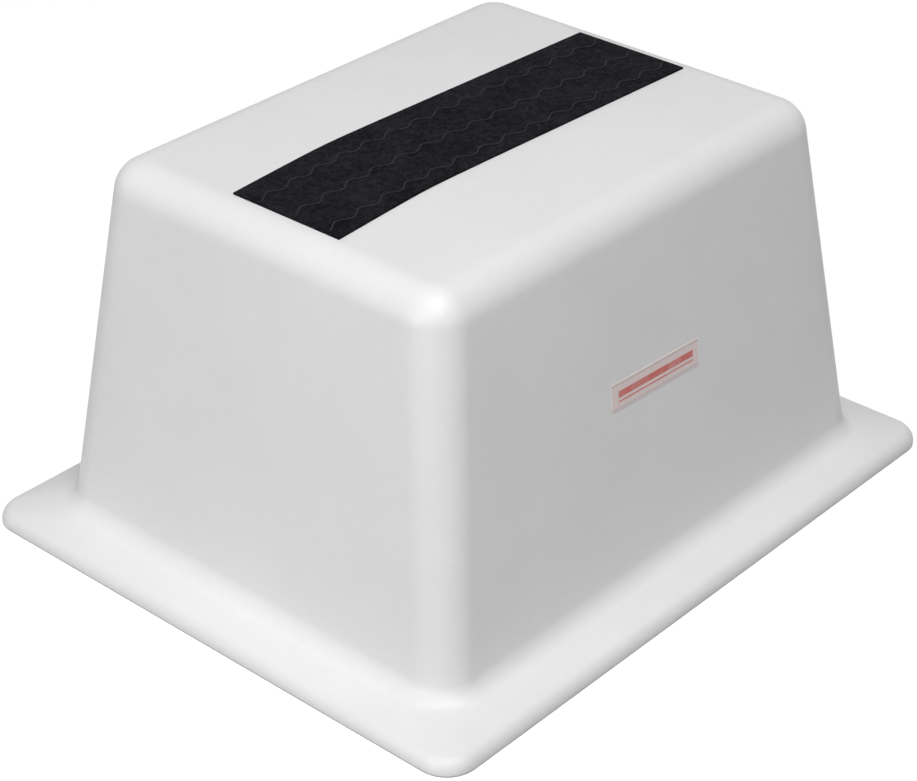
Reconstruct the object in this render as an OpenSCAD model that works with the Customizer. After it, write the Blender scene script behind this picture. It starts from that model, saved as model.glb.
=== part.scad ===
// A free-standing dock step: a hollow moulded box with drafted walls and a flange round its foot,
// open underneath, with a non-slip strip on top and a blank label on the long front wall.
// Millimetres, +Z up, X along the long side, the front wall on the -Y side.
// The origin is on the floor under the middle of the step.

/* [Step body] */
// Height from the floor to the flat of the top
step_h = 305; // [220:1:400]
// Length of the top, taken to the sharp corners before rounding
top_l = 423; // [340:1:600]
// Width of the top, taken to the sharp corners before rounding
top_w = 325; // [260:1:460]
// Lean of the four walls from upright, degrees
draft = 7.4; // [3:0.1:12]
// Thickness of the moulded wall
wall_t = 5; // [3:0.5:8]
// Radius rolled round the edge of the top
top_r = 27; // [15:0.5:30]
// Radius of the four upright corners
corner_r = 30; // [30:1:60]

/* [Flange] */
// How far the flange stands out from the walls at floor level
flange_w = 37.5; // [32:0.5:60]
// Fall of the flange towards its lip, degrees
flange_slope = 14; // [4:0.5:20]
// Radius of the cove between the walls and the flange
cove_r = 16; // [8:0.5:24]
// Radius rolled over the outer lip
lip_r = 10.5; // [9:0.5:14]
// Upright land of the lip, between the floor and its radius
lip_land = 1.5; // [1:0.5:8]
// Radius of the flange's four corners, seen from above
flange_corner_r = 25; // [20:1:45]

/* [Tread strip] */
// Width of the non-slip strip
tread_w = 102; // [60:1:140]
// Thickness of the strip
tread_t = 1.6; // [1:0.1:4]
// Gap between the strip's ends and the ends of the flat top
tread_inset = 0.4; // [0.1:0.1:20]
// How far the hand-laid strip bows off the middle of the top
tread_bow = 6; // [0:0.5:12]
// Place of that bow along the strip
tread_bow_x = -85; // [-120:1:120]
// How far the strip's far end drops off the middle
tread_skew = 2.8; // [0:0.1:8]

/* [Wavy ribs] */
// Height of the ribs above the strip
rib_h = 0.6; // [0.3:0.1:1.5]
// Width of a rib
rib_w = 2.2; // [1:0.1:4]
// Distance between one rib and the next
rib_pitch = 33; // [20:1:40]
// Place of the middle rib across the strip
rib_shift = -4; // [-6:0.5:6]
// Length of one wave
wave_l = 25.5; // [15:0.5:50]
// Rise of a wave to each side
wave_rise = 2.8; // [0:0.1:4]

/* [Label] */
// Length of the label
label_l = 101; // [40:1:160]
// Height of the label, up the slope of the wall
label_h = 21.5; // [10:0.5:60]
// Thickness of the label
label_t = 0.4; // [0.2:0.1:1]
// Height of the label's middle above the floor
label_z = 167; // [110:1:180]
// Place of the label's middle along the wall
label_x = -0.5; // [-60:0.5:60]
// Tilt of the label as it was stuck on, degrees clockwise
label_tilt = 2.2; // [0:0.1:6]
// Radius of the label's corners
label_r = 0.8; // [0.2:0.1:4]

/* [Hidden] */

// Steps round a quarter of an upright corner, and round each rolled edge of the section
corner_steps = 10;
roll_steps = 9;
lip_steps = 7;
// Depth by which the hollow is cut past the floor
floor_cut = 2;
// Points along the strip's long edges and along one wave
strip_steps = 48;
wave_steps = 10;
// Softness of the strip's bend
bow_soft = 25;

// The section of the moulding is followed outwards and down from the top's edge. A place on it is
// [out, z]: out is measured from the top's sharp edge, which holds for all four sides.
// A direction is the angle at which the section falls; its outer normal is [sin, cos] of that angle.
wall_fall = 90 - draft;
reach = step_h * tan(draft) + flange_w;
lip_z = lip_land + lip_r * tan((90 - flange_slope) / 2);
foot_z = (lip_z + flange_w * tan(flange_slope)) / (1 - tan(draft) * tan(flange_slope));
foot_out = (step_h - foot_z) * tan(draft);

function normal(fall) = [sin(fall), cos(fall)];
function along(fall) = [cos(fall), -sin(fall)];

// Length from a sharp corner of the section to where its radius starts
function tangent_l(r, fall_a, fall_b) = r * tan(abs(fall_b - fall_a) / 2);

top_tangent = tangent_l(top_r, 0, wall_fall);
cove_tangent = tangent_l(cove_r, wall_fall, flange_slope);
lip_tangent = tangent_l(lip_r, flange_slope, 90);

// Centres of the three radii
top_c = [-top_tangent, step_h - top_r];
cove_c = [foot_out, foot_z] - cove_tangent * along(wall_fall) + cove_r * normal(wall_fall);
lip_c = [reach, lip_z] - lip_tangent * along(flange_slope) - lip_r * normal(flange_slope);

// Places where the wall and the flange pass into the radii
wall_top_out = top_c[0] + top_r * sin(wall_fall);
wall_foot_out = cove_c[0] - cove_r * sin(wall_fall);
flange_in_out = cove_c[0] - cove_r * sin(flange_slope);
flange_end_out = lip_c[0] + lip_r * sin(flange_slope);

// Plan radius of the corner at a place on the section: it grows round the top edge, stays the same
// down the wall, grows round the cove and narrows over the flange to the lip's own radius.
cove_end_r = corner_r + flange_in_out - wall_foot_out;
lip_start_r = flange_corner_r - (reach - flange_end_out);
function plan_r(out) =
    out <= wall_top_out ? corner_r - (wall_top_out - out) :
    out <= wall_foot_out ? corner_r :
    out <= flange_in_out ? corner_r + out - wall_foot_out :
    out <= flange_end_out ? cove_end_r + (lip_start_r - cove_end_r) * (out - flange_in_out)
        / (flange_end_out - flange_in_out) :
    flange_corner_r - (reach - out);

// A station is [place, outer normal]
function roll(centre, r, fall_a, fall_b, steps) = [
    for (i = [0 : steps])
        let (fall = fall_a + (fall_b - fall_a) * i / steps)
        [centre + r * normal(fall), normal(fall)]
];
stations = concat(
    roll(top_c, top_r, 0, wall_fall, roll_steps),
    roll(cove_c, -cove_r, wall_fall, flange_slope, roll_steps),
    roll(lip_c, lip_r, flange_slope, 90, lip_steps),
    [[[reach, 0], normal(90)]]
);

// One ring of a station: a rounded rectangle, moved in from the outer skin by a depth
function ring(station, depth) =
    let (
        r = plan_r(station[0][0]) - depth * station[1][0],
        out = station[0][0] - depth * station[1][0],
        z = station[0][1] - depth * station[1][1],
        centre_x = top_l / 2 + out - r,
        centre_y = top_w / 2 + out - r
    )
    [
        for (quarter = [0 : 3], i = [0 : corner_steps])
            let (
                turn = 90 * (quarter + i / corner_steps),
                side_x = quarter == 0 || quarter == 3 ? 1 : -1,
                side_y = quarter < 2 ? 1 : -1
            )
            [side_x * centre_x + r * cos(turn), side_y * centre_y + r * sin(turn), z]
    ];

// A closed solid through rings that have the same number of points, from the top down
module loft(rings) {
    n = len(rings[0]);
    last = len(rings) - 1;
    sides = [
        for (k = [0 : last - 1], j = [0 : n - 1])
            let (next = (j + 1) % n)
            [k * n + j, k * n + next, (k + 1) * n + next, (k + 1) * n + j]
    ];
    top_cap = [for (j = [n - 1 : -1 : 0]) j];
    bottom_cap = [for (j = [0 : n - 1]) last * n + j];
    polyhedron(points = [for (r = rings) each r], faces = concat([top_cap], sides, [bottom_cap]));
}

function lowered(points, drop) = [for (p = points) [p[0], p[1], p[2] - drop]];

// The moulded body: the outer skin less the hollow, which follows it at the wall's thickness
module step_shell() {
    outer = [for (s = stations) ring(s, 0)];
    inner = [for (s = stations) ring(s, wall_t)];
    color("whitesmoke")
        difference() {
            loft(outer);
            loft(concat(inner, [lowered(inner[len(inner) - 1], floor_cut)]));
        }
}

// The strip fills the flat of the top from end to end, and its middle line bows slightly
flat_l = top_l - 2 * top_tangent;
tread_l = flat_l - 2 * tread_inset;
function soft_run(d) = sqrt(d * d + bow_soft * bow_soft) - bow_soft;
near_run = soft_run(tread_bow_x + tread_l / 2);
far_run = soft_run(tread_l / 2 - tread_bow_x);
function strip_mid(x) =
    let (d = x - tread_bow_x)
    d < 0 ? tread_bow * (1 - soft_run(d) / near_run)
          : tread_bow - (tread_bow + tread_skew) * soft_run(d) / far_run;

// A band of one width along the strip, off its middle line by a shift and a wave
function band(shift, width, rise, steps) =
    let (
        xs = [for (i = [0 : steps]) tread_l * (i / steps - 0.5)],
        ys = [for (x = xs) strip_mid(x) + shift + rise * sin(360 * x / wave_l)]
    )
    concat(
        [for (i = [0 : steps]) [xs[i], ys[i] - width / 2]],
        [for (i = [steps : -1 : 0]) [xs[i], ys[i] + width / 2]]
    );

// The non-slip strip, flat on the top, with three wavy ribs along it
module tread_strip() {
    rib_steps = ceil(tread_l / wave_l * wave_steps);
    color([0.13, 0.13, 0.14])
        translate([0, 0, step_h]) {
            linear_extrude(height = tread_t)
                polygon(band(0, tread_w, 0, strip_steps));
            for (k = [-1 : 1])
                linear_extrude(height = tread_t + rib_h)
                    polygon(band(rib_shift + k * rib_pitch, rib_w, wave_rise, rib_steps));
        }
}

module round_rect(l, h, r) {
    square([l - 2 * r, h], center = true);
    square([l, h - 2 * r], center = true);
    for (x = [-1, 1], y = [-1, 1])
        translate([x * (l / 2 - r), y * (h / 2 - r)])
            circle(r = r, $fn = 32);
}

// The blank label, face to face with the slope of the front wall
module front_label() {
    wall_y = -top_w / 2 - (step_h - label_z) * tan(draft);
    color([0.93, 0.9, 0.89])
        translate([label_x, wall_y, label_z])
            rotate([wall_fall, 0, 0])
                rotate([0, 0, -label_tilt])
                    linear_extrude(height = label_t)
                        round_rect(label_l, label_h, label_r);
}

step_shell();
tread_strip();
front_label();
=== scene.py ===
import math

import bmesh
import bpy
from mathutils import Matrix, Vector


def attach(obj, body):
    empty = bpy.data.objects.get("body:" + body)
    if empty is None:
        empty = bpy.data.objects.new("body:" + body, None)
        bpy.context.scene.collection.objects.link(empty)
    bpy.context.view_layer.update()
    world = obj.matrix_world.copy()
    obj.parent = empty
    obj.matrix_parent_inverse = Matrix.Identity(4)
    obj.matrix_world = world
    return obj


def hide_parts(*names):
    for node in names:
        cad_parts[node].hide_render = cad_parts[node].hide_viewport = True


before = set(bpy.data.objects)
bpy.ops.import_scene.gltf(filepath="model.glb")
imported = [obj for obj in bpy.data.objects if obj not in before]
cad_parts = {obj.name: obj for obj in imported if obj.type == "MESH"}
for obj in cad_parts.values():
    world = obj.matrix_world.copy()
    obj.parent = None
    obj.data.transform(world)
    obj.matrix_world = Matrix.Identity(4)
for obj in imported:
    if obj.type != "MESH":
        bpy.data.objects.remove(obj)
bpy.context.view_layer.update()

# A free-standing dock step: a white moulding, a black non-slip strip and a plain label.
# Metres, +Z up, X along the long side, the front wall on the -Y side.
# The sizes are those of the CAD model.

STEP_H = 0.305
TOP_L = 0.423
TOP_W = 0.325
DRAFT = math.radians(7.4)
WALL_T = 0.005
TOP_R = 0.027
CORNER_R = 0.030

FLANGE_W = 0.0375
FLANGE_SLOPE = math.radians(14)
COVE_R = 0.016
LIP_R = 0.0105
LIP_LAND = 0.0015
FLANGE_CORNER_R = 0.025

TREAD_W = 0.102
TREAD_T = 0.0016
TREAD_INSET = 0.0004
TREAD_BOW = 0.006
TREAD_BOW_X = -0.085
TREAD_SKEW = 0.0028
BOW_SOFT = 0.025
RIB_H = 0.0006
RIB_W = 0.0022
RIB_PITCH = 0.033
RIB_SHIFT = -0.004
WAVE_L = 0.0255
WAVE_RISE = 0.0028
# Run over which the wave dies out at the long edges, and the rib at the ends
WAVE_FADE = 0.010
RIB_FADE = 0.004
# Fullness of a rib's crown, and the radius broken round the strip's upper edge
RIB_CROWN = 2.4
STRIP_EDGE_R = 0.0004

LABEL_L = 0.101
LABEL_H = 0.0215
LABEL_T = 0.0004
LABEL_Z = 0.167
LABEL_X = -0.0005
LABEL_TILT = math.radians(2.2)
LABEL_R = 0.0008
# The label's marks: thin lines of painted shade near its long edges, a painted highlight at its right end,
# and a printed bar and stripe, placed up from its middle
LABEL_SHADE_LINE_AT = 0.0092
LABEL_SHADE_LINE_W = 0.0007
LABEL_HIGHLIGHT_EDGE_W = 0.0012
BAR_L = 0.086
BAR_H = 0.0052
BAR_UP = 0.0012
STRIPE_H = 0.0012
STRIPE_UP = -0.0042


# Materials

def new_material(name):
    """A material with an empty node tree, its Principled shader and the object's own coordinates."""
    material = bpy.data.materials.new(name)
    material.use_nodes = True
    tree = material.node_tree
    tree.nodes.clear()
    shader = tree.nodes.new("ShaderNodeBsdfPrincipled")
    out = tree.nodes.new("ShaderNodeOutputMaterial")
    tree.links.new(shader.outputs["BSDF"], out.inputs["Surface"])
    place = tree.nodes.new("ShaderNodeTexCoord").outputs["Object"]
    return material, tree, shader, place


def noise(tree, place, size, detail=2.0, roughness=0.5, distortion=0.0):
    """Even noise whose lumps are about this many metres across."""
    node = tree.nodes.new("ShaderNodeTexNoise")
    node.inputs["Scale"].default_value = 1.0 / size
    node.inputs["Detail"].default_value = detail
    node.inputs["Roughness"].default_value = roughness
    node.inputs["Distortion"].default_value = distortion
    tree.links.new(place, node.inputs["Vector"])
    return node.outputs["Fac"]


def spread(tree, value, low, high, from_low=0.0, from_high=1.0):
    """The value taken from one range to another."""
    node = tree.nodes.new("ShaderNodeMapRange")
    node.inputs["From Min"].default_value = from_low
    node.inputs["From Max"].default_value = from_high
    node.inputs["To Min"].default_value = low
    node.inputs["To Max"].default_value = high
    tree.links.new(value, node.inputs["Value"])
    return node.outputs["Result"]


def combine(tree, operation, a, b):
    """Two values, or a value and a number, through one sum."""
    node = tree.nodes.new("ShaderNodeMath")
    node.operation = operation
    for socket, item in zip(node.inputs, (a, b)):
        if isinstance(item, (int, float)):
            socket.default_value = item
        else:
            tree.links.new(item, socket)
    return node.outputs["Value"]


def tint(tree, share, first, second):
    """One colour passing into another as the share goes from 0 to 1. A colour may be a socket."""
    node = tree.nodes.new("ShaderNodeMix")
    node.data_type = "RGBA"
    tree.links.new(share, node.inputs["Factor"])
    for socket, colour in ((node.inputs["A"], first), (node.inputs["B"], second)):
        if isinstance(colour, tuple):
            socket.default_value = (*colour, 1)
        else:
            tree.links.new(colour, socket)
    return node.outputs["Result"]


def relief(tree, shader, layers):
    """Bump layers, each a height from 0 to 1 with its depth in metres, one after another."""
    last = None
    for height, depth in layers:
        node = tree.nodes.new("ShaderNodeBump")
        node.inputs["Strength"].default_value = 1.0
        node.inputs["Distance"].default_value = depth
        tree.links.new(height, node.inputs["Height"])
        if last is not None:
            tree.links.new(last, node.inputs["Normal"])
        last = node.outputs["Normal"]
    tree.links.new(last, shader.inputs["Normal"])


def make_white_moulding():
    """White plastic with faint clouds, flecks and hand marks, and the slight waves of a moulding."""
    material, tree, shader, place = new_material("white moulding")
    cloud = noise(tree, place, 0.09, 3)
    fleck = noise(tree, place, 0.006, 3)
    clouded = spread(tree, cloud, -0.2, 0.8, 0.3, 0.7)
    shade = combine(tree, "ADD", clouded, spread(tree, fleck, 0, 0.4, 0.3, 0.7))
    white = tint(tree, shade, (0.865, 0.867, 0.875), (0.895, 0.897, 0.905))
    tree.links.new(white, shader.inputs["Base Color"])
    smear = noise(tree, place, 0.035, 4, 0.6, 0.6)
    tree.links.new(spread(tree, smear, 0.40, 0.52, 0.3, 0.7), shader.inputs["Roughness"])
    relief(tree, shader, [
        (noise(tree, place, 0.0035, 2), 0.00006),
        (noise(tree, place, 0.022, 1), 0.00025),
    ])
    return material


def make_tread_rubber():
    """Matt black rubber, crinkled all over, with the crests of its ribs painted paler: a painted
    highlight, and rubbing wear.
    """
    material, tree, shader, place = new_material("black rubber")
    crinkle = noise(tree, place, 0.0045, 5, 0.65, 0.9)
    cloud = noise(tree, place, 0.03, 2)
    crinkled = spread(tree, crinkle, -0.2, 0.8, 0.38, 0.66)
    shade = combine(tree, "ADD", crinkled, spread(tree, cloud, -0.1, 0.5, 0.3, 0.7))
    rubber = tint(tree, shade, (0.0035, 0.0038, 0.005), (0.0165, 0.017, 0.0205))
    height = tree.nodes.new("ShaderNodeSeparateXYZ")
    tree.links.new(place, height.inputs["Vector"])
    strip_top = STEP_H + TREAD_T
    # Painted highlight: the rib crests, picked out by height, are painted paler. This also stands for
    # rubbing wear.
    crest_highlight_and_wear = spread(tree, height.outputs["Z"], 0, 0.8, strip_top + 0.3 * RIB_H, strip_top + RIB_H)
    worn_and_highlit = tint(tree, crest_highlight_and_wear, rubber, (0.046, 0.046, 0.050))
    tree.links.new(worn_and_highlit, shader.inputs["Base Color"])
    tree.links.new(spread(tree, crinkle, 0.85, 0.7, 0.3, 0.7), shader.inputs["Roughness"])
    shader.inputs["Specular IOR Level"].default_value = 0.04
    relief(tree, shader, [
        (crinkle, 0.0009),
        (noise(tree, place, 0.0011, 2), 0.00012),
    ])
    return material


def inside(tree, value, middle, half, soft=0.0003):
    """1 where the value lies within half of the middle, softly passing into 0."""
    away = combine(tree, "ABSOLUTE", combine(tree, "SUBTRACT", value, middle), 0)
    return spread(tree, away, 1, 0, half - soft, half + soft)


def make_label_film():
    """A pale film with a plain red bar and stripe, a thin line of painted shade near each long edge, and a
    painted highlight at its right end.
    """
    material, tree, shader, place = new_material("label")
    film_map = tree.nodes.new("ShaderNodeUVMap")
    film_map.uv_map = "film"
    parts = tree.nodes.new("ShaderNodeSeparateXYZ")
    tree.links.new(film_map.outputs["UV"], parts.inputs["Vector"])
    across, up = parts.outputs["X"], parts.outputs["Y"]
    from_middle = combine(tree, "ABSOLUTE", up, 0)
    cloud = noise(tree, place, 0.02, 2)
    film = tint(tree, cloud, (0.865, 0.735, 0.72), (0.89, 0.765, 0.75))
    # Painted shade: a thin dark line near each long edge, where the film's edge throws shade.
    film = tint(tree, inside(tree, from_middle, LABEL_SHADE_LINE_AT, LABEL_SHADE_LINE_W / 2), film, (0.56, 0.50, 0.50))
    # Painted highlight: a pale band along the right end, where the film's edge catches the light.
    film = tint(tree, inside(tree, across, LABEL_L / 2, LABEL_HIGHLIGHT_EDGE_W), film, (0.93, 0.93, 0.92))
    bar = inside(tree, up, BAR_UP, BAR_H / 2)
    marks = combine(tree, "MAXIMUM", bar, inside(tree, up, STRIPE_UP, STRIPE_H / 2))
    marks = combine(tree, "MULTIPLY", marks, inside(tree, across, 0, BAR_L / 2))
    fade = spread(tree, noise(tree, place, 0.008, 3), 0.8, 1.0, 0.35, 0.65)
    film = tint(tree, combine(tree, "MULTIPLY", marks, fade), film, (0.68, 0.115, 0.09))
    tree.links.new(film, shader.inputs["Base Color"])
    tree.links.new(spread(tree, cloud, 0.25, 0.38), shader.inputs["Roughness"])
    relief(tree, shader, [(noise(tree, place, 0.012, 1), 0.0001)])
    return material


# Mesh helpers

def new_piece(name, bm, material, node):
    """The finished piece: it takes the place of a CAD node, which is hidden, and hangs from the root body.
    """
    mesh = bpy.data.meshes.new(name)
    bm.to_mesh(mesh)
    bm.free()
    mesh.materials.append(material)
    for face in mesh.polygons:
        face.use_smooth = True
    piece = bpy.data.objects.new(name, mesh)
    bpy.context.scene.collection.objects.link(piece)
    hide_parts(node)
    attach(piece, "root")
    return piece


def weigh_normals(piece):
    """Flats stay flat in the shading where they pass into a radius."""
    even = piece.modifiers.new("even shading", "WEIGHTED_NORMAL")
    even.mode = "FACE_AREA"
    even.keep_sharp = True


# The moulding

# A place on the section is (out, z), with out measured from the top's sharp edge. A direction is the
# angle at which the section falls, and its outer normal is (sin, cos) of that angle.
UPRIGHT = math.radians(90)
WALL_FALL = UPRIGHT - DRAFT
REACH = STEP_H * math.tan(DRAFT) + FLANGE_W
LIP_Z = LIP_LAND + LIP_R * math.tan((UPRIGHT - FLANGE_SLOPE) / 2)


def normal(fall):
    return Vector((math.sin(fall), math.cos(fall)))


def along(fall):
    return Vector((math.cos(fall), -math.sin(fall)))


def tangent(radius, fall_a, fall_b):
    return radius * math.tan(abs(fall_b - fall_a) / 2)


def meet(place_a, fall_a, place_b, fall_b):
    """The sharp corner between two straight runs of the section."""
    way = along(fall_a)
    return place_a + way * (normal(fall_b).dot(place_b - place_a) / normal(fall_b).dot(way))


def arc(corner, radius, fall_a, fall_b, steps):
    """Places round one radius of the section. A hollow radius is negative."""
    centre = corner - tangent(abs(radius), fall_a, fall_b) * along(fall_a) - radius * normal(fall_a)
    falls = [fall_a + (fall_b - fall_a) * i / steps for i in range(steps + 1)]
    return [centre + radius * normal(fall) for fall in falls]


def between(first, last, steps):
    """Stations on the straight run from one station to the next, without its ends."""
    shares = [i / steps for i in range(1, steps)]
    return [(first[0].lerp(last[0], t), first[1] + (last[1] - first[1]) * t) for t in shares]


TOP_STEPS = 20
WALL_STEPS = 12
COVE_STEPS = 14
FLANGE_STEPS = 5
LIP_STEPS = 12


def section(depth):
    """Stations of the skin at a depth, from the flat of the top down to the floor.
    A station is a place and the radius of the upright corner there, seen from above."""
    def sunk(place, fall):
        return place - depth * normal(fall)

    edge, rim = Vector((0, STEP_H)), Vector((REACH, LIP_Z))
    top_corner = meet(sunk(edge, 0), 0, sunk(edge, WALL_FALL), WALL_FALL)
    foot_corner = meet(sunk(edge, WALL_FALL), WALL_FALL, sunk(rim, FLANGE_SLOPE), FLANGE_SLOPE)
    lip_corner = meet(sunk(rim, FLANGE_SLOPE), FLANGE_SLOPE, sunk(rim, UPRIGHT), UPRIGHT)
    top = arc(top_corner, TOP_R - depth, 0, WALL_FALL, TOP_STEPS)
    cove = arc(foot_corner, -(COVE_R + depth), WALL_FALL, FLANGE_SLOPE, COVE_STEPS)
    lip = arc(lip_corner, LIP_R - depth, FLANGE_SLOPE, UPRIGHT, LIP_STEPS)
    lip.append(Vector((REACH - depth, 0)))
    wall_r = CORNER_R - depth * math.cos(DRAFT)
    top = [(place, wall_r - (top[-1].x - place.x)) for place in top]
    cove = [(place, wall_r + place.x - cove[0].x) for place in cove]
    lip = [(place, FLANGE_CORNER_R - (REACH - place.x)) for place in lip]
    wall = between(top[-1], cove[0], WALL_STEPS)
    flange = between(cove[-1], lip[0], FLANGE_STEPS)
    return top + wall + cove + flange + lip


# Faces round a corner, cuts along a side, and how far the inner foot ring hangs while it is joined
SIDES = 4
CORNER_STEPS = 14
SIDE_CUTS = 11
FOOT_HANG = 0.01


def add_ring(bm, station):
    """One rounded rectangle of a skin. Its edges are returned."""
    (out, z), radius = station
    flat = bmesh.ops.create_grid(bm, x_segments=1, y_segments=1, size=0.5)["verts"]
    bmesh.ops.scale(bm, vec=(TOP_L + 2 * out, TOP_W + 2 * out, 1), verts=flat)
    bmesh.ops.translate(bm, vec=(0, 0, z), verts=flat)
    face = flat[0].link_faces[0]
    before = set(bm.edges) - set(face.edges)
    bmesh.ops.bevel(bm, geom=flat, offset=radius, offset_type="OFFSET", segments=CORNER_STEPS,
                    profile=0.5, affect="VERTICES", material=-1)
    edges = [e for e in bm.edges if e not in before]
    longest = sorted(edges, key=lambda e: e.calc_length(), reverse=True)[:SIDES]
    bmesh.ops.subdivide_edges(bm, edges=longest, cuts=SIDE_CUTS)
    faces = {f for e in bm.edges if e not in before for f in e.link_faces if len(f.verts) > SIDES}
    bmesh.ops.delete(bm, geom=list(faces), context="FACES_ONLY")
    return [e for e in bm.edges if e not in before]


def make_step_shell(material):
    """The moulded body: an outer and an inner skin, joined round the foot."""
    bm = bmesh.new()
    outer, inner = section(0), section(WALL_T)[::-1]
    # Two rings in one plane would be bridged askew, so the inner one hangs lower until that is done
    foot, foot_radius = inner[0]
    inner[0] = (foot - Vector((0, FOOT_HANG)), foot_radius)
    rings = [add_ring(bm, station) for station in outer + inner]
    for upper, lower in zip(rings, rings[1:]):
        bmesh.ops.bridge_loops(bm, edges=upper + lower)
    for rim in (rings[0], rings[-1]):
        bmesh.ops.contextual_create(bm, geom=rim)
    for vert in bm.verts:
        vert.co.z = max(vert.co.z, 0)
    bmesh.ops.recalc_face_normals(bm, faces=bm.faces)
    piece = new_piece("step_moulding", bm, material, "step_shell")
    weigh_normals(piece)
    return piece


# The strip

FLAT_L = TOP_L - 2 * tangent(TOP_R, 0, WALL_FALL)
TREAD_L = FLAT_L - 2 * TREAD_INSET


def soft_run(run):
    """A run that starts softly and then grows as its length does."""
    return math.sqrt(run * run + BOW_SOFT * BOW_SOFT) - BOW_SOFT


NEAR_RUN = soft_run(TREAD_BOW_X + TREAD_L / 2)
FAR_RUN = soft_run(TREAD_L / 2 - TREAD_BOW_X)


def strip_middle(x):
    """The hand-laid strip's middle line, which bows slightly."""
    run = x - TREAD_BOW_X
    if run < 0:
        return TREAD_BOW * (1 - soft_run(run) / NEAR_RUN)
    return TREAD_BOW - (TREAD_BOW + TREAD_SKEW) * soft_run(run) / FAR_RUN


def smooth(value):
    """A value from 0 to 1, eased at both ends."""
    value = min(max(value, 0), 1)
    return value * value * (3 - 2 * value)


COLUMN_GAP = 0.0012
ROW_GAP = 0.003
BORDER = 0.0008
SHARP = math.radians(60)
# Rows on one rib, as shares of half its width
RIB_ROWS = (-1.25, -1, -0.8, -0.5, -0.25, 0, 0.25, 0.5, 0.8, 1, 1.25)


def strip_rows():
    """Places of the mesh rows across the strip, close together on each rib."""
    half = TREAD_W / 2
    ribs = [RIB_SHIFT + k * RIB_PITCH for k in (-1, 0, 1)]
    rows = [-half, -half + BORDER, half - BORDER, half]
    for rib in ribs:
        rows += [rib + RIB_W / 2 * share for share in RIB_ROWS]
    stops = sorted(rows)
    for a, b in zip(stops, stops[1:]):
        steps = int((b - a) / ROW_GAP)
        rows += [a + (b - a) * i / steps for i in range(1, steps)]
    return sorted(rows), ribs


def make_tread_strip(material):
    """The strip: a sheet that follows its bow, with three wavy ribs raised on it."""
    rows, ribs = strip_rows()
    columns = round(TREAD_L / COLUMN_GAP)
    bm = bmesh.new()
    bmesh.ops.create_grid(bm, x_segments=columns, y_segments=len(rows) - 1, size=0.5)
    half = TREAD_W / 2
    for vert in bm.verts:
        x = vert.co.x * TREAD_L
        row = rows[round((vert.co.y + 0.5) * (len(rows) - 1))]
        nearest = min(ribs, key=lambda rib: abs(rib - row))
        crown = max(0, 1 - abs((row - nearest) / (RIB_W / 2)) ** RIB_CROWN)
        rise = crown * smooth((TREAD_L / 2 - abs(x)) / RIB_FADE)
        wave = WAVE_RISE * math.sin(2 * math.pi * x / WAVE_L) * smooth((half - abs(row)) / WAVE_FADE)
        vert.co = (x, strip_middle(x) + row + wave, STEP_H + TREAD_T + RIB_H * rise)
    top = list(bm.faces)
    grown = bmesh.ops.extrude_face_region(bm, geom=top)
    low = [item for item in grown["geom"] if isinstance(item, bmesh.types.BMVert)]
    for vert in low:
        vert.co.z = STEP_H
    bmesh.ops.recalc_face_normals(bm, faces=bm.faces)
    high = STEP_H + TREAD_T / 2
    sharp = [e for e in bm.edges if e.calc_face_angle(0) > SHARP]
    rim = [e for e in sharp if e.verts[0].co.z > high and e.verts[1].co.z > high]
    bmesh.ops.bevel(bm, geom=rim, offset=STRIP_EDGE_R, offset_type="OFFSET", segments=2, profile=0.5,
                    affect="EDGES", material=-1)
    piece = new_piece("non_slip_strip", bm, material, "tread_strip")
    for edge in piece.data.edges:
        edge.use_edge_sharp = False
    weigh_normals(piece)
    return piece


# The label

def make_front_label(material):
    """A thin label on the slope of the front wall, with its own flat map for the print."""
    bm = bmesh.new()
    flat = bmesh.ops.create_grid(bm, x_segments=1, y_segments=1, size=0.5)["verts"]
    bmesh.ops.scale(bm, vec=(LABEL_L, LABEL_H, 1), verts=flat)
    bmesh.ops.bevel(bm, geom=flat, offset=LABEL_R, offset_type="OFFSET", segments=5, profile=0.5,
                    affect="VERTICES", material=-1)
    grown = bmesh.ops.extrude_face_region(bm, geom=list(bm.faces))
    high = [item for item in grown["geom"] if isinstance(item, bmesh.types.BMVert)]
    bmesh.ops.translate(bm, vec=(0, 0, LABEL_T), verts=high)
    bmesh.ops.recalc_face_normals(bm, faces=bm.faces)
    film = bm.loops.layers.uv.new("film")
    for face in bm.faces:
        for loop in face.loops:
            loop[film].uv = loop.vert.co.xy
    wall_y = -TOP_W / 2 - (STEP_H - LABEL_Z) * math.tan(DRAFT)
    seat = (Matrix.Translation((LABEL_X, wall_y, LABEL_Z)) @ Matrix.Rotation(WALL_FALL, 4, "X")
            @ Matrix.Rotation(-LABEL_TILT, 4, "Z"))
    bmesh.ops.transform(bm, matrix=seat, verts=bm.verts)
    piece = new_piece("plain_label", bm, material, "front_label")
    for face in piece.data.polygons:
        face.use_smooth = False
    return piece


make_step_shell(make_white_moulding())
make_tread_strip(make_tread_rubber())
make_front_label(make_label_film())


# Camera

PHOTO_WIDTH = 917
PHOTO_HEIGHT = 781
SENSOR_WIDTH = 36
# Focal length and optical centre of the photograph, in its pixels
FOCAL_PX = 2496.67
CENTRE_PX = (471.44, 396.33)
# Turn round the object from the front, rise above the floor and roll, in radians
CAMERA_TURN = -0.8453
CAMERA_RISE = 0.5497
CAMERA_ROLL = -0.0011
# Place of the camera in step heights: from a point above the middle of the foot, back, right and up
AIM_HEIGHT = 0.45
CAMERA_BACK = 6.2545
CAMERA_RIGHT = 0.008
CAMERA_UP = -0.1724


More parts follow.
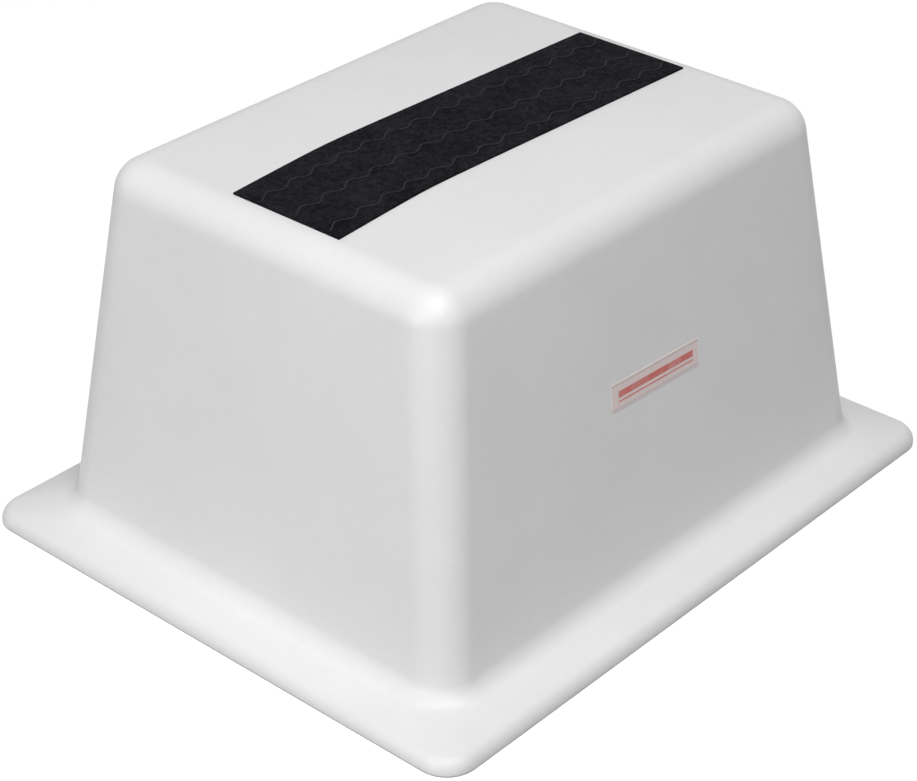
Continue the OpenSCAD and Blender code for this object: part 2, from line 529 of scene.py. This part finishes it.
def make_camera():
    """The camera that the photograph was taken with, solved on the object's outline."""
    level = math.cos(CAMERA_RISE)
    back = Vector((math.sin(CAMERA_TURN) * level, -math.cos(CAMERA_TURN) * level, math.sin(CAMERA_RISE)))
    right = Vector((math.cos(CAMERA_TURN), math.sin(CAMERA_TURN), 0))
    up = back.cross(right)
    tilt_cos, tilt_sin = math.cos(CAMERA_ROLL), math.sin(CAMERA_ROLL)
    right, up = (tilt_cos * right + tilt_sin * up, tilt_cos * up - tilt_sin * right)
    place = Vector((0, 0, AIM_HEIGHT)) + back * CAMERA_BACK + right * CAMERA_RIGHT + up * CAMERA_UP
    data = bpy.data.cameras.new("camera")
    data.sensor_width = SENSOR_WIDTH
    data.lens = FOCAL_PX / PHOTO_WIDTH * SENSOR_WIDTH
    data.shift_x = (PHOTO_WIDTH / 2 - CENTRE_PX[0]) / PHOTO_WIDTH
    data.shift_y = (CENTRE_PX[1] - PHOTO_HEIGHT / 2) / PHOTO_WIDTH
    camera = bpy.data.objects.new("camera", data)
    bpy.context.scene.collection.objects.link(camera)
    turned = Matrix((right, up, back)).transposed().to_4x4()
    camera.matrix_world = Matrix.Translation(place * STEP_H) @ turned
    bpy.context.scene.camera = camera


make_camera()


# Floor, backdrop and light

WHITE = (1, 1, 1, 1)
FLOOR_REACH = 6
FLOOR_PAINT = 0.45
# The floor's own glow where the camera sees it, and the light of the backdrop on the object
FLOOR_GLOW = 0.8
WORLD_LIGHT = 0.05
# The middle of the object, at which the softboxes face
TARGET = (0, 0, 0.15)
# Name, place, width and power of each softbox
LAMPS = [
    ("key softbox", (-0.777, -0.777, 2.506), 1.0, 13.7),
    ("front softbox", (-0.412, -1.019, 2.506), 1.0, 13.9),
    ("middle softbox", (-1.408, -1.408, 1.821), 1.0, 13.3),
    ("low left softbox", (-2.443, 0.0, 1.039), 1.0, 17.4),
    ("right softbox", (2.511, 0.0, 0.823), 1.4, 3.9),
    ("overhead softbox", (0.0, 0.0, 2.75), 1.8, 8.9),
]


def seen_directly(tree):
    """1 where the camera sees the surface, itself or in a reflection, and 0 for light that bounces."""
    path = tree.nodes.new("ShaderNodeLightPath")
    seen = combine(tree, "MAXIMUM", path.outputs["Is Camera Ray"], path.outputs["Is Glossy Ray"])
    return combine(tree, "MAXIMUM", seen, path.outputs["Is Transmission Ray"])


def make_floor():
    """A white floor that keeps the object's shadow."""
    material = bpy.data.materials.new("floor")
    material.use_nodes = True
    tree = material.node_tree
    tree.nodes.clear()
    paint = tree.nodes.new("ShaderNodeBsdfDiffuse")
    paint.inputs["Color"].default_value = (FLOOR_PAINT, FLOOR_PAINT, FLOOR_PAINT, 1)
    glow = tree.nodes.new("ShaderNodeEmission")
    tree.links.new(combine(tree, "MULTIPLY", seen_directly(tree), FLOOR_GLOW), glow.inputs["Strength"])
    both = tree.nodes.new("ShaderNodeAddShader")
    tree.links.new(paint.outputs["BSDF"], both.inputs[0])
    tree.links.new(glow.outputs["Emission"], both.inputs[1])
    out = tree.nodes.new("ShaderNodeOutputMaterial")
    tree.links.new(both.outputs["Shader"], out.inputs["Surface"])
    bm = bmesh.new()
    bmesh.ops.create_grid(bm, x_segments=1, y_segments=1, size=FLOOR_REACH)
    mesh = bpy.data.meshes.new("floor")
    bm.to_mesh(mesh)
    bm.free()
    mesh.materials.append(material)
    floor = bpy.data.objects.new("floor", mesh)
    bpy.context.scene.collection.objects.link(floor)


def make_world():
    """A white backdrop that throws only a little light of its own."""
    world = bpy.data.worlds.new("studio")
    world.use_nodes = True
    tree = world.node_tree
    tree.nodes.clear()
    fill = tree.nodes.new("ShaderNodeBackground")
    fill.inputs["Color"].default_value = WHITE
    fill.inputs["Strength"].default_value = WORLD_LIGHT
    seen = tree.nodes.new("ShaderNodeBackground")
    seen.inputs["Color"].default_value = WHITE
    seen.inputs["Strength"].default_value = 1
    pick = tree.nodes.new("ShaderNodeMixShader")
    tree.links.new(seen_directly(tree), pick.inputs["Fac"])
    tree.links.new(fill.outputs["Background"], pick.inputs[1])
    tree.links.new(seen.outputs["Background"], pick.inputs[2])
    out = tree.nodes.new("ShaderNodeOutputWorld")
    tree.links.new(pick.outputs["Shader"], out.inputs["Surface"])
    bpy.context.scene.world = world


def add_softbox(name, place, size, power):
    """A square softbox that faces the middle of the object."""
    data = bpy.data.lights.new(name, "AREA")
    data.shape = "SQUARE"
    data.size = size
    data.energy = power
    lamp = bpy.data.objects.new(name, data)
    bpy.context.scene.collection.objects.link(lamp)
    way = Vector(TARGET) - Vector(place)
    lamp.matrix_world = Matrix.Translation(place) @ way.to_track_quat("-Z", "Y").to_matrix().to_4x4()


make_floor()
make_world()
for lamp in LAMPS:
    add_softbox(*lamp)

view = bpy.context.scene.view_settings
view.view_transform = "Standard"
